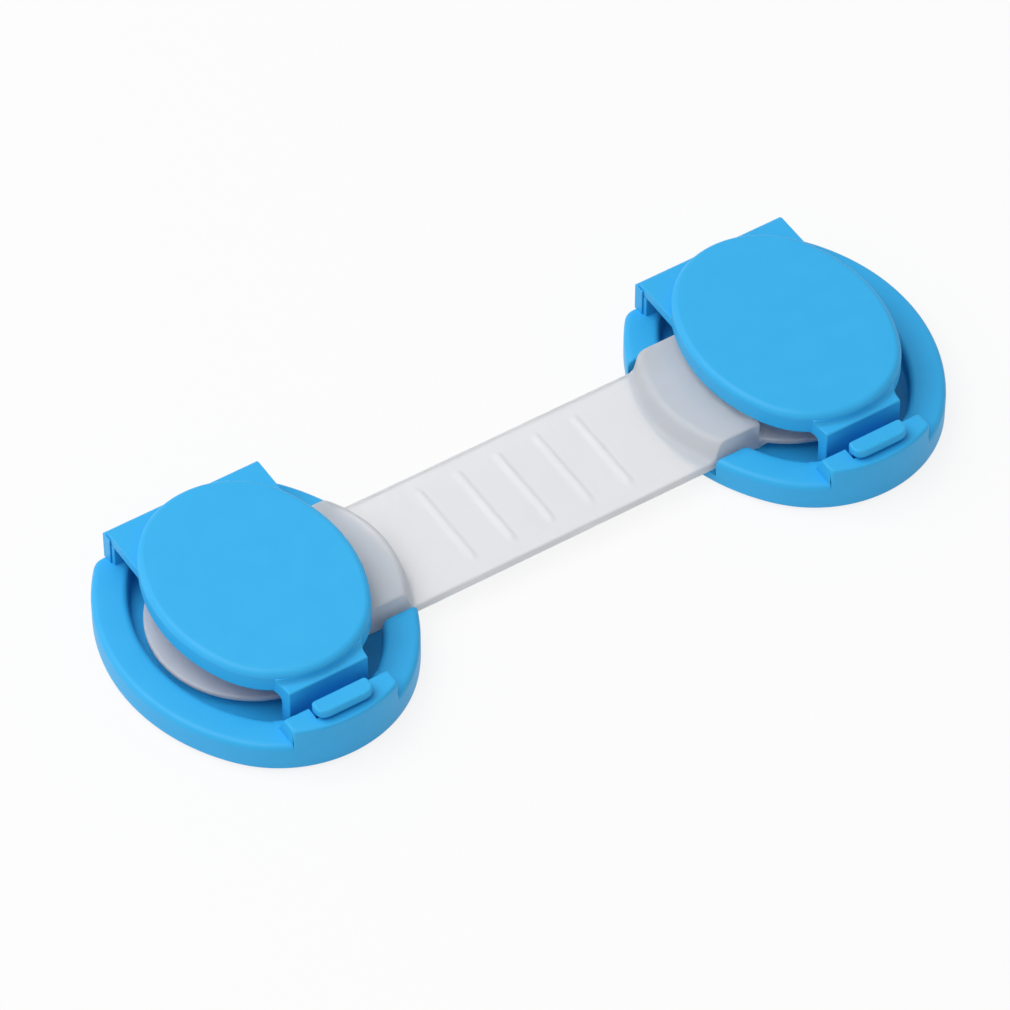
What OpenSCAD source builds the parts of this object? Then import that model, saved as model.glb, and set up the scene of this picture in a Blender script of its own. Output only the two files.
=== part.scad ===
// Cabinet safety lock: two oval stick-on locks joined by a flexible strap.
// Each lock has a base with a rim, a hinged lid and a spring latch. The strap's
// round ends lie in the wells of the bases and the lids keep them there.
// Frame: +X along the strap, +Y towards the lid hinges, +Z up, z = 0 on the
// mounting surface. A lock is drawn about its own centre, strap towards +X.

/* [Strap] */
// Distance between the centres of the two locks
lock_pitch = 90; // [76:1:160]
// Width of the strap
strap_w = 21.4; // [18:0.2:23]
// Thickness of the strap
strap_t = 1.6; // [1.2:0.1:2]
// Radius of the round flange at each end of the strap
flange_r = 15.8; // [15:0.1:18]
// Thickness of the round flange
flange_t = 2.3; // [2.1:0.1:2.8]
// Height of the raised head above the strap's underside
head_h = 5.3; // [4.6:0.1:6]
// Distance from the lock's centre to the foot of the head's curved face
head_reach = 22.4; // [21:0.1:24]
// Radius of the head's curved face at its foot
head_r = 20.5; // [17:0.1:24]
// How far the head's curved face leans back over its height
head_lean = 2.6; // [1.6:0.1:3]
// Distance from the lock's centre to the back of the head
head_back = 10.5; // [9.5:0.1:12]
// Number of finger ribs across the strap
rib_count = 5; // [1:2:7]
// Distance between neighbouring ribs
rib_pitch = 6.65; // [5:0.05:7]
// Length of a rib
rib_l = 15; // [8:0.5:17]
// Width of a rib
rib_w = 1.9; // [1.2:0.1:2.6]
// Height of a rib
rib_h = 0.35; // [0.2:0.05:0.6]

/* [Base] */
// Width of the rim
rim_w = 5.3; // [4.4:0.1:6]
// Height of the rim above the base's lower edge
rim_h = 4.6; // [4:0.1:5.2]
// Radius of the rim's rounded top edges
rim_round = 1.2; // [0.6:0.1:1.6]
// Thickness of the base from its lower edge to its floor
floor_t = 1.5; // [1.2:0.1:2]
// How much tighter the round ends are than half the base's width
end_tighten = 2.5; // [2:0.1:4]
// Distance from the front of the lid's disc to the front of the base
front_reach = 7.3; // [6.6:0.1:8.4]
// Radius of the peg that the strap's end turns on
peg_r = 5; // [4:0.1:5.4]

/* [Lid] */
// Width of the lid's oval disc
lid_w = 29.8; // [28:0.2:33]
// How much tighter the disc's round ends are than half its width
lid_tighten = 1.4; // [1:0.1:2.4]
// Height of the disc's side
lid_h = 3.6; // [3:0.1:4.4]
// Wall thickness of the disc
lid_wall = 1.6; // [1.2:0.1:2]
// Radius of the disc's rounded top edge
lid_round = 1.1; // [0.6:0.1:1.5]
// Distance from the back of the disc to the back of the hinge wall
disc_back = 0.5; // [0.2:0.1:1]
// Width of the hinge plate and of the wall under it
hinge_w = 25; // [20:0.5:28]
// Thickness of the hinge plate
plate_t = 1.7; // [1.4:0.1:2.2]
// Thickness of the wall that carries the hinge
hinge_wall_t = 2.1; // [1.6:0.1:2.6]
// Thickness of the hinge film
film_t = 0.4; // [0.3:0.05:0.6]
// Radius of the rolled bead along the hinge film
bead_r = 0.5; // [0.4:0.05:0.6]
// Outer radius of the ring under the lid that holds the strap down
ring_r = 8; // [7.4:0.1:8.6]
// Wall thickness of that ring
ring_t = 1.4; // [1:0.1:1.6]

/* [Latch] */
// Width of the lid's front tab
tab_w = 12.8; // [10.5:0.1:14]
// How far the tab stands in front of the disc
tab_reach = 0.8; // [0.5:0.1:1.2]
// Thickness of the tab's plate
tab_t = 1.6; // [1.2:0.05:2]
// Thickness of the tab's leg
leg_t = 1.8; // [1.4:0.1:2.2]
// Width of the latch finger
finger_w = 8.4; // [7:0.1:9]
// Thickness of the latch finger
finger_t = 0.9; // [0.7:0.05:1.2]
// Depth of the hook on the finger
hook_d = 0.45; // [0.35:0.05:0.6]
// Height of the hook
hook_h = 0.8; // [0.6:0.05:1]
// Width of the release pad
pad_w = 9; // [8.6:0.1:11]
// Thickness of the release pad
pad_t = 1.5; // [1.2:0.1:2]
// How far the release pad stands out in front of the finger
pad_reach = 1.9; // [1.5:0.1:2.2]
// Radius of the release pad's front corners
pad_corner = 2; // [1:0.1:2.2]
// Width of the latch block on the rim
block_w = 17; // [16:0.2:20]
// Height of the latch block above the rim
block_h = 3.1; // [2.4:0.1:3.6]
// Thickness of the block's front wall
block_wall = 1.6; // [1.2:0.1:2]
// Distance from the base's front to the back edge of the block's flat top
shelf_d = 4.7; // [4.2:0.1:5.2]
// Distance from the base's front to the foot of the block's sloping back
block_d = 6.4; // [5.8:0.1:7]
// Depth of the ledge that the hook catches under
ledge_d = 0.9; // [0.8:0.05:1.2]
// Height of that ledge
ledge_h = 0.9; // [0.7:0.05:1.2]

/* [Adhesive] */
// Thickness of the foam pad
foam_t = 1; // [0.8:0.1:1.6]
// Thickness of the release liner
liner_t = 0.2; // [0.1:0.05:0.3]
// Depth of the recess that the foam pad sits in
recess_d = 0.6; // [0.4:0.1:0.8]
// Distance from the base's outline to the foam pad's
foam_inset = 3; // [2:0.1:5]

/* [Clearances] */
// Gap around the strap's flange, along the strap
flange_gap = 0.9; // [0.6:0.05:1.2]
// Gap between the strap's flange and the hinge wall
hinge_gap = 1.8; // [1.4:0.05:2.2]
// Gap on each side of the strap in the rim's mouth
mouth_gap = 0.7; // [0.6:0.05:1.2]
// Gap under the strap
under_gap = 0.2; // [0.1:0.05:0.4]
// Gap between the peg and the flange's hole
peg_gap = 0.25; // [0.15:0.05:0.4]
// Gap between the strap's flange and the ring that holds it down
hold_gap = 0.5; // [0.3:0.05:0.8]
// Gap between the strap's head and the lid
lid_gap = 1.4; // [1:0.1:1.8]
// Running gap around a bead
bead_gap = 0.05; // [0.03:0.01:0.1]
// Gap between the lid and the wall under it, and beside the bead
wall_gap = 0.3; // [0.25:0.05:0.5]
// Gap between the hook and the ledge when the latch is free
hook_gap = 0.25; // [0.2:0.05:0.4]
// Gap between the release pad and the top of the block
pad_gap = 0.4; // [0.4:0.05:0.8]
// Gap on each side of the tab in its pocket
pocket_gap = 0.3; // [0.25:0.05:0.6]
// Gap on each side of the latch finger in its notch
notch_gap = 0.3; // [0.25:0.05:0.4]
// Gap between the latch's lower end and the base's floor
foot_gap = 0.8; // [0.6:0.05:1.2]
// Gap around the foam pad in its recess
foam_gap = 0.15; // [0.1:0.05:0.3]

/* [Hidden] */
$fn = 96;

// Pieces of a straight chord that stand for a quarter round on an edge
edge_steps = 5;
// Pieces of the fill behind each arc of an oval
fill_steps = 8;
// Pieces of each arc of a flat oval plate, and of the lid's disc
plate_steps = 18;
disc_steps = 12;
// Extra depth of a cut past the surface that it opens
over = 1;

// Heights, from the mounting surface up
foam_top = liner_t + foam_t;
base_z = foam_top - recess_d;
floor_z = base_z + floor_t;
rim_z = base_z + rim_h;
strap_z = floor_z + under_gap;
strap_top = strap_z + strap_t;
flange_top = strap_z + flange_t;
head_top = strap_z + head_h;
lid_z = head_top + lid_gap;
lid_top = lid_z + lid_h;
hinge_z = lid_z + bead_r;
block_top = rim_z + block_h;
ledge_z = block_top - ledge_h;
pad_z = block_top + pad_gap;
pivot_z = floor_z + foot_gap + bead_r;

// Distances across the lock, from its centre to the back
hinge_wall_front = flange_r + hinge_gap;
hinge_wall_back = hinge_wall_front + hinge_wall_t;
hinge_y = hinge_wall_back + film_t / 2;
lid_hy = hinge_wall_back - disc_back;
base_back = hinge_wall_back + film_t;

// Half sizes of the base, its rim's mouth and the lid
base_hx = flange_r + flange_gap + rim_w;
base_hy = lid_hy + front_reach;
base_end = base_hx - end_tighten;
mouth_hy = strap_w / 2 + mouth_gap;
lid_hx = lid_w / 2;
lid_end = lid_hx - lid_tighten;

// Distances across the lock, from its centre to the front
ledge_tip = base_hy - block_wall - ledge_d;
hook_tip = ledge_tip - hook_gap;
finger_front = hook_tip - hook_d;
finger_back = finger_front - finger_t;
pivot_y = finger_front - finger_t / 2;
tab_front = lid_hy + tab_reach;
pocket_hx = tab_w / 2 + pocket_gap;
notch_hx = finger_w / 2 + notch_gap;

// Shift along Y that puts the frame's origin in the middle of the part
middle_y = (base_hy - hinge_y - bead_r) / 2;

BLUE = [0.24, 0.66, 0.93];
MILKY = [0.92, 0.92, 0.94];
FOAM = [0.86, 0.86, 0.84];
PAPER = [0.96, 0.93, 0.82];

// Points of an arc about [cx, cy] from angle a to angle b, short of its end by some points
function arc(cx, cy, r, a, b, steps, short = 0) =
    [for (i = [0:steps - short]) let (t = a + (b - a) * i / steps) [cx + r * cos(t), cy + r * sin(t)]];

// Radius of the flat side arcs of an oval with half sizes hx, hy and end radius r
function side_radius(hx, hy, r) = (hx * hx + (hy - r) * (hy - r) - r * r) / (2 * (hx - r));

// Half the angle of a side arc
function side_angle(hx, hy, r) = atan2(hy - r, side_radius(hx, hy, r) - hx);

// Outline of an oval of four arcs, drawn in by inset; each arc stops where the next one starts
function oval(hx, hy, r, inset, steps) =
    let (s = side_radius(hx, hy, r), t = side_angle(hx, hy, r), c = hy - r)
    concat(
        arc(hx - s, 0, s - inset, -t, t, steps, 1),
        arc(0, c, r - inset, t, 180 - t, steps, 1),
        arc(s - hx, 0, s - inset, 180 - t, 180 + t, steps, 1),
        arc(0, -c, r - inset, 180 + t, 360 - t, steps, 1)
    );

// Carries a profile round an oval: x = 0 on the outline, negative inside
module along_oval(hx, hy, r) {
    s = side_radius(hx, hy, r);
    t = side_angle(hx, hy, r);
    for (turn = [0, 180]) {
        rotate(turn) translate([hx - s, 0, 0]) rotate(-t)
            rotate_extrude(angle = 2 * t) translate([s, 0]) children();
        rotate(turn) translate([0, hy - r, 0]) rotate(t)
            rotate_extrude(angle = 180 - 2 * t) translate([r, 0]) children();
    }
}

// Flat oval plate from z to z + h
module oval_plate(hx, hy, r, z, h) {
    translate([0, 0, z]) linear_extrude(h) polygon(oval(hx, hy, r, 0, plate_steps));
}

// Box given by its lowest corner and its highest corner
module box(low, high) {
    translate(low) cube(high - low);
}

// Prism along X of the given width, from a profile in y and z
module prism_x(width, profile) {
    translate([-width / 2, 0, 0]) rotate([90, 0, 90]) linear_extrude(width) polygon(profile);
}

// Round bar along X, centred, at y and z
module bar_x(width, r, y, z) {
    translate([-width / 2, y, z]) rotate([0, 90, 0]) cylinder(r = r, h = width);
}

// Cross-section of the rim, with both top edges rounded
module rim_profile() {
    polygon(concat(
        [[-rim_w, base_z], [0, base_z]],
        arc(-rim_round, rim_z - rim_round, rim_round, 0, 90, edge_steps),
        arc(rim_round - rim_w, rim_z - rim_round, rim_round, 90, 180, edge_steps)
    ));
}

// Raised block on the front of the rim, with a flat top and a sloping back
module latch_block() {
    intersection() {
        translate([0, base_end - base_hy, base_z]) cylinder(r = base_end, h = block_h + rim_h);
        prism_x(block_w, [
            [-base_hy - over, base_z], [-base_hy - over, block_top], [shelf_d - base_hy, block_top],
            [block_d - base_hy, rim_z], [block_d - base_hy, base_z]
        ]);
    }
}

// Pocket behind the block for the tab's leg, and the notch in the block for the latch finger
module latch_pocket() {
    box([-pocket_hx, shelf_d - base_hy, floor_z], [pocket_hx, base_end - base_hy, lid_top]);
    intersection() {
        translate([0, base_end - base_hy, floor_z])
            cylinder(r = base_end - block_wall, h = lid_top);
        box([-notch_hx, -base_hy, floor_z], [notch_hx, shelf_d - base_hy + over, lid_top]);
    }
}

// Base of one lock, an oval that ends straight behind the hinge wall
module lock_base() {
    sill_hx = hinge_w / 2 + rim_round;
    difference() {
        union() {
            along_oval(base_hx, base_hy, base_end) rim_profile();
            translate([0, 0, base_z]) linear_extrude(floor_t)
                polygon(oval(base_hx, base_hy, base_end, rim_w / 2, fill_steps));
            latch_block();
            box([-sill_hx, hinge_wall_front, base_z], [sill_hx, base_back + over, rim_z]);
            box([-hinge_w / 2, hinge_wall_front, base_z], [hinge_w / 2, hinge_wall_back, lid_z - wall_gap]);
            translate([0, 0, base_z]) cylinder(r = peg_r, h = flange_top - base_z);
        }
        box([-base_hx, base_back, base_z - over], [base_hx, base_hy + over, rim_z + over]);
        box([flange_r - rim_w, -mouth_hy, floor_z], [base_hx + over, mouth_hy, rim_z + over]);
        latch_pocket();
        foam_recess();
    }
    ledge();
}

// Ledge on the inside of the block's front wall, across the notch
module ledge() {
    reach = notch_hx + block_wall / 2;
    box([-reach, -ledge_tip - ledge_d - block_wall / 2, ledge_z], [reach, -ledge_tip, block_top]);
}

// Shallow recess under the base for the foam pad
module foam_recess() {
    base_layer(foam_inset - foam_gap, base_z - over, recess_d + over);
}

// Thin film behind the hinge wall, with the bead that the lid turns on
module hinge_film() {
    box([-hinge_w / 2, hinge_wall_back, rim_z + wall_gap], [hinge_w / 2, hinge_wall_back + film_t, hinge_z]);
    bar_x(hinge_w, bead_r, hinge_y, hinge_z);
}

// Solid oval disc of the lid with a rounded top edge, the hull of slices that shrink towards the top
module lid_disc() {
    hull() for (i = [0:edge_steps]) {
        a = 90 * i / edge_steps;
        translate([0, 0, lid_z]) linear_extrude(lid_h - lid_round * (1 - sin(a)))
            polygon(oval(lid_hx, lid_hy, lid_end, lid_round * (1 - cos(a)), disc_steps));
    }
}

// Hollow under the lid's disc
module lid_hollow() {
    translate([0, 0, lid_z - over]) linear_extrude(lid_h - lid_wall + over)
        polygon(oval(lid_hx, lid_hy, lid_end, lid_wall, disc_steps));
}

// Lid of one lock: hollow disc, hinge plate, front tab with its leg and foot, hold-down ring
module lock_lid() {
    foot_front = finger_back - bead_gap * 4;
    foot_z = pivot_z - finger_t / 2;
    difference() {
        union() {
            difference() {
                lid_disc();
                lid_hollow();
            }
            box([-hinge_w / 2, lid_hy / 2, lid_z], [hinge_w / 2, hinge_y - wall_gap, lid_z + plate_t]);
            box([-tab_w / 2, -tab_front, lid_z], [tab_w / 2, leg_t - lid_hy, lid_z + tab_t]);
            box([-tab_w / 2, -tab_front, foot_z], [tab_w / 2, leg_t - tab_front, lid_z + tab_t / 2]);
            box(
                [-finger_w / 2, -foot_front, foot_z],
                [finger_w / 2, leg_t / 2 - tab_front, foot_z + finger_t]
            );
            hold_down_ring();
        }
        bar_x(hinge_w + over, bead_r + bead_gap, hinge_y, hinge_z);
    }
}

// Ring under the lid that keeps the strap's flange in the well
module hold_down_ring() {
    low = flange_top + hold_gap;
    difference() {
        translate([0, 0, low]) cylinder(r = ring_r, h = lid_top - lid_wall / 2 - low);
        translate([0, 0, low - over]) cylinder(r = ring_r - ring_t, h = lid_top - lid_wall - low + over);
    }
}

// Spring latch: bead at its root, finger, hook and release pad
module lock_latch() {
    bar_x(finger_w, bead_r, -pivot_y, pivot_z);
    box([-finger_w / 2, -finger_front, pivot_z], [finger_w / 2, -finger_back, pad_z + pad_t / 2]);
    hook_top = ledge_z - hook_gap;
    prism_x(finger_w, [
        [-finger_back, hook_top - hook_h - hook_d], [-finger_back, hook_top], [-hook_tip, hook_top],
        [-hook_tip, hook_top - hook_h], [-finger_front, hook_top - hook_h - hook_d]
    ]);
    front = finger_front + pad_reach;
    corner_x = pad_w / 2 - pad_corner;
    translate([0, 0, pad_z]) linear_extrude(pad_t) polygon(concat(
        [[pad_w / 2, -finger_back], [-pad_w / 2, -finger_back]],
        arc(-corner_x, pad_corner - front, pad_corner, 180, 270, fill_steps),
        arc(corner_x, pad_corner - front, pad_corner, 270, 360, fill_steps)
    ));
}

// Flat layer with the base's outline drawn in by inset, from z to z + h
module base_layer(inset, z, h) {
    intersection() {
        oval_plate(base_hx - inset, base_hy - inset, base_end - inset, z, h);
        box([-base_hx, -base_hy, z - over], [base_hx, base_back - inset, z + h + over]);
    }
}

// Half of the strap, from a lock's centre to the middle of the strap
module strap_half() {
    middle = lock_pitch / 2;
    difference() {
        union() {
            translate([0, 0, strap_z]) cylinder(r = flange_r, h = flange_t);
            box([head_back, -strap_w / 2, strap_z], [middle, strap_w / 2, strap_top]);
            strap_head();
        }
        translate([0, 0, strap_z - over]) cylinder(r = peg_r + peg_gap, h = flange_t + 2 * over);
    }
    strap_ribs(middle);
}

// Raised head that fills the rim's mouth, with a leaning round face towards the strap
module strap_head() {
    edge = rim_round;
    top_r = head_r - head_lean;
    intersection() {
        translate([head_reach - head_r, 0, 0]) rotate_extrude() polygon(concat(
            [[0, strap_z], [head_r, strap_z], [head_r, strap_top]],
            arc(top_r - edge, head_top - edge, edge, atan2(head_lean, head_top - strap_top), 90, edge_steps),
            [[0, head_top]]
        ));
        box([head_back, -strap_w / 2, strap_z], [head_reach + over, strap_w / 2, head_top]);
    }
}

// Low round ribs across the strap, the middle one shared by both halves
module strap_ribs(middle) {
    r = (rib_w * rib_w / 4 + rib_h * rib_h) / (2 * rib_h);
    intersection() {
        for (i = [0:(rib_count - 1) / 2])
            translate([middle - i * rib_pitch, -rib_l / 2, strap_top + rib_h - r])
                rotate([-90, 0, 0]) cylinder(r = r, h = rib_l);
        box([head_reach, -strap_w / 2, strap_top - strap_t / 2], [middle, strap_w / 2, strap_top + rib_h]);
    }
}

// Places of the two locks
module at_left() {
    translate([-lock_pitch / 2, middle_y, 0]) children();
}
module at_right() {
    mirror([1, 0, 0]) at_left() children();
}

module left_base() { color(BLUE) at_left() lock_base(); }
module left_hinge_film() { color(BLUE) at_left() hinge_film(); }
module left_lid() { color(BLUE) at_left() lock_lid(); }
module left_latch() { color(BLUE) at_left() lock_latch(); }
module left_foam_pad() { color(FOAM) at_left() base_layer(foam_inset, liner_t, foam_t); }
module left_release_liner() { color(PAPER) at_left() base_layer(foam_inset, 0, liner_t); }
module right_base() { color(BLUE) at_right() lock_base(); }
module right_hinge_film() { color(BLUE) at_right() hinge_film(); }
module right_lid() { color(BLUE) at_right() lock_lid(); }
module right_latch() { color(BLUE) at_right() lock_latch(); }
module right_foam_pad() { color(FOAM) at_right() base_layer(foam_inset, liner_t, foam_t); }
module right_release_liner() { color(PAPER) at_right() base_layer(foam_inset, 0, liner_t); }
module strap_left_half() { color(MILKY) at_left() strap_half(); }
module strap_right_half() { color(MILKY) at_right() strap_half(); }

left_base();
left_hinge_film();
left_lid();
left_latch();
left_foam_pad();
left_release_liner();
right_base();
right_hinge_film();
right_lid();
right_latch();
right_foam_pad();
right_release_liner();
strap_left_half();
strap_right_half();
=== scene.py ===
# %% [markdown]
# # Cabinet safety lock
# Two blue stick-on locks are joined by a milky strap. The solids of the lock are loaded as a fixed
# frame. Each blue moulding, the strap and the adhesive layers are then drawn again as smooth surfaces
# in the same places, because a moulded edge is never sharp and a render shows every sharp edge.

# %% Load the frame
import bmesh
import bpy
import numpy as np
from mathutils import Matrix


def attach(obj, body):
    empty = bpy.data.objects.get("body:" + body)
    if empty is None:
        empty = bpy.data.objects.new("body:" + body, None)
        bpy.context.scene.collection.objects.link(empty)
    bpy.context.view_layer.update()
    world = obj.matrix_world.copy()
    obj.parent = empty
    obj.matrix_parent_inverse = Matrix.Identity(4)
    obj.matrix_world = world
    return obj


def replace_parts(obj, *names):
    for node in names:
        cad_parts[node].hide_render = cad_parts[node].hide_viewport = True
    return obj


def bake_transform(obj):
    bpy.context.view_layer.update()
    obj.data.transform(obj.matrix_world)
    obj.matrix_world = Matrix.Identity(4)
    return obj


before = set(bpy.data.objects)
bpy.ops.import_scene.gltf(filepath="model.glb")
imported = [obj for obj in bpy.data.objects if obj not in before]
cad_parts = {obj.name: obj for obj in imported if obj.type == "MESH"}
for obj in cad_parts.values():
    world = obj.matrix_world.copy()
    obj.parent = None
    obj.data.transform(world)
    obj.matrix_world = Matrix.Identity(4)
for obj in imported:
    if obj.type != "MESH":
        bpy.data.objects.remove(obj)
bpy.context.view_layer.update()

# %% [markdown]
# ## Sizes
# Everything is worked out in millimetres in the frame of one lock: origin under the lock's centre, +X
# towards the strap, +Y towards the hinge. Heights are measured from the mounting surface. Sizes that
# several pieces share stand here, once, so that the pieces still meet when a size changes. A size that
# only one piece needs is named with that piece.

# %% Shared sizes in millimetres
MM = 0.001
LOCK_X, LOCK_Y = -45.0, 3.05

# Base: half sizes, how much tighter the arcs at its ends are, and where its back is cut straight
BASE = dict(hx=22.0, hy=26.5, tighten=2.5)
BASE_BACK = 20.1

# Heights: underside of the base, top of its rim, top of the strap's flange, lower edge of the lid
BASE_Z, RIM_Z, FLANGE_Z, LID_Z = 0.6, 5.2, 4.6, 9.0

# Hinge: half length, axis and radius of the film's bead; latch: half width of its finger
HINGE_HX, HINGE_Y, HINGE_Z, BEAD_R = 12.5, 19.9, 9.5, 0.5
LATCH_HX = 4.2

# Two faces in one plane render as black spots, so one of them is moved by this much
APART = 0.03


# %% [markdown]
# ## Building with arrays
# A moulded piece could be modelled by hand, with bevels on a box. Here every surface is a grid of
# points that comes from a formula, so that its size is exact and each edge has a rounding of its own.
# A closed ring has as many points as the next one, so quads join them, and a flat cap closes each end.

# %% Rings and sheets
def loft(rings, caps=(True, True)):
    """Closed rings of equal length joined by quads, one after another; caps close the first and the
    last ring."""
    rings = np.asarray(rings, float)
    count, length = rings.shape[:2]
    index = np.arange(count * length).reshape(count, length)
    after = np.roll(index, -1, axis=1)
    quads = np.stack([index[:-1], after[:-1], after[1:], index[1:]], -1).reshape(-1, 4).tolist()
    quads += [index[0][::-1].tolist()] * caps[0] + [index[-1].tolist()] * caps[1]
    return rings.reshape(-1, 3), quads


def sheet(points):
    """Open grid of points joined by quads."""
    rows, columns = points.shape[:2]
    i = np.arange(rows * columns).reshape(rows, columns)
    quads = np.stack([i[:-1, :-1], i[:-1, 1:], i[1:, 1:], i[1:, :-1]], -1)
    return points.reshape(-1, 3), quads.reshape(-1, 4).tolist()


print("two rings of four points:", len(loft(np.zeros((2, 4, 3)))[1]), "faces")

# %% [markdown]
# ## From arrays to objects
# The right lock is the left one mirrored, so one function makes both. It puts the shells of a piece in
# one mesh, merges the points where they meet, and turns all faces outwards, because a mirrored mesh is
# inside out. Smooth shading with sharp creases suits moulded plastic, and weighted normals keep the
# flat faces flat beside the small roundings.

# %% Pieces
# Points closer than this, in metres, become one; edges bent more than this stay sharp
MERGE = 1e-6
CREASE_DEGREES = 40


def piece(name, shells, material, side=-1):
    """One object from shells in lock millimetres; side -1 is the left lock, +1 its mirror image."""
    corners, faces = [], []
    start = 0
    for points, polygons in shells:
        corners.append(points)
        faces += [[start + i for i in polygon] for polygon in polygons]
        start += len(points)
    corners = np.concatenate(corners)
    corners[:, 0] = -side * (corners[:, 0] + LOCK_X)
    corners[:, 1] += LOCK_Y
    mesh = bpy.data.meshes.new(name)
    mesh.from_pydata((corners * MM).tolist(), [], faces)
    edit = bmesh.new()
    edit.from_mesh(mesh)
    bmesh.ops.remove_doubles(edit, verts=edit.verts, dist=MERGE)
    bmesh.ops.dissolve_degenerate(edit, edges=edit.edges, dist=MERGE)
    bmesh.ops.recalc_face_normals(edit, faces=edit.faces)
    loose = sum(len(edge.link_faces) != 2 for edge in edit.edges)
    edit.to_mesh(mesh)
    edit.free()
    mesh.shade_smooth()
    mesh.set_sharp_from_angle(angle=np.radians(CREASE_DEGREES))
    mesh.materials.append(material)
    made = bpy.data.objects.new(name, mesh)
    bpy.context.collection.objects.link(made)
    weighted = made.modifiers.new("flat faces stay flat", "WEIGHTED_NORMAL")
    weighted.keep_sharp = True
    print(name, len(mesh.polygons), "faces,", loose, "open edges")
    return made


# %% [markdown]
# ## Rounded forms
# Most details of a moulding are boxes, or outlines carried along a straight line, with soft edges. A
# Bevel modifier would round them all alike and fail where edges are short. These functions put the
# rounding into the outline itself, so a corner can be soft on one side and crisp on the other.

# %% Rounded boxes
def turn(degrees):
    """Cosine and sine of angles in degrees, side by side."""
    radians = np.radians(degrees)
    return np.stack([np.cos(radians), np.sin(radians)], -1)


def rounded_box(low, high, r, steps=4):
    """Box with round edges: centre + sign * (half - r) + r * normal, one sign for each eighth of a
    sphere."""
    low, high = np.array(low, float), np.array(high, float)
    arc = np.linspace(0, 90, steps + 1)
    around = turn(np.concatenate([arc + 90 * k for k in range(4)]))
    level = turn(np.concatenate([arc - 90, arc]))
    sign = np.stack(np.broadcast_arrays(
        np.repeat([1, -1, -1, 1], steps + 1)[None, :], np.repeat([1, 1, -1, -1], steps + 1)[None, :],
        np.repeat([-1, 1], steps + 1)[:, None]), -1)
    flat = level[:, None, :1] * around[None, :, :]
    normal = np.concatenate([flat, np.broadcast_to(level[:, None, 1:], flat.shape[:2] + (1,))], -1)
    return loft((low + high) / 2 + sign * ((high - low) / 2 - r) + r * normal)


print("rounded box:", len(rounded_box([0, 0, 0], [2, 2, 2], 0.2)[0]), "points")


# %% Rounded outlines
def bend(before, corner, after, r, steps):
    """Rounded corner: quadratic curve from r before the corner to r after it, on the two legs."""
    before, corner, after, r = np.broadcast_arrays(
        before, corner, after, np.asarray(r, float)[..., None])
    curve = np.linspace(0, 1, steps + 1).reshape((-1,) + (1,) * corner.ndim)

    def leg(end):
        way = end - corner
        length = np.maximum(np.linalg.norm(way, axis=-1, keepdims=True), 1e-9)
        return corner + way * np.minimum(r / length, 0.5)
    return (1 - curve) ** 2 * leg(before) + 2 * curve * (1 - curve) * corner + curve ** 2 * leg(after)


def rounded_loop(corners, radii, steps=5):
    """Closed outline through corners, each rounded by its own radius."""
    corners = np.array(corners, float)
    return np.concatenate([
        bend(corners[i - 1], corners[i], corners[(i + 1) % len(corners)], radii[i], steps)
        for i in range(len(corners))])


def drawn_in(loop, amount):
    """The outline moved inwards along its normals."""
    along = np.roll(loop, -1, 0) - np.roll(loop, 1, 0)
    along /= np.maximum(np.linalg.norm(along, axis=1, keepdims=True), 1e-9)
    area = np.sum(loop[:, 0] * np.roll(loop[:, 1], -1) - np.roll(loop[:, 0], -1) * loop[:, 1])
    return loop + np.sign(area) * amount * np.stack([-along[:, 1], along[:, 0]], -1)


print("rounded corner:", len(bend((0, 1), (0, 0), (1, 0), 0.2, 5)), "points")


# %% Soft prisms
def soft_prism(loop, half, r, steps=4):
    """Outline in y and z carried along x from -half to half, with round ends: at the turn a of the
    end's rounding the outline is drawn in by r(1 - cos a) and stands r(1 - sin a) short of the end.
    r has to be smaller than the outline's corners, or the rings fold."""
    a = np.radians(np.linspace(90, 0, steps + 1))
    inset, short = r * (1 - np.cos(a)), r * (1 - np.sin(a))
    rings = [np.insert(drawn_in(loop, i), 0, half - s, axis=1) for i, s in zip(inset, short)]
    return loft(np.array(rings + [ring * [-1, 1, 1] for ring in rings[::-1]]))


def soft_plate(loop, low, high, r, steps=4):
    """Outline in x and y carried from low to high, with round edges."""
    points, faces = soft_prism(loop, (high - low) / 2, r, steps)
    return points[:, [1, 2, 0]] + [0, 0, (low + high) / 2], faces


square = rounded_loop([(-1, -1), (1, -1), (1, 1), (-1, 1)], [0.4] * 4)
print("soft plate:", len(soft_plate(square, 0, 1, 0.2)[0]), "points")


# %% [markdown]
# ## Ovals
# The base, the lid and the adhesive share one kind of outline: two tight arcs at the ends and two flat
# arcs at the sides that meet without a corner. An ellipse would be shorter to write, but its inset is
# no ellipse. A point on arcs is a centre plus a radius along the normal, so an inset outline is the
# same formula with a smaller radius.

# %% Oval outline
def arcs(hx, hy, tighten):
    """Radii of the end arcs and of the side arcs: a side arc touches hx and runs into the end arcs."""
    end = hx - tighten
    return end, (hx * hx + (hy - end) ** 2 - end * end) / (2 * (hx - end))


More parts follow.
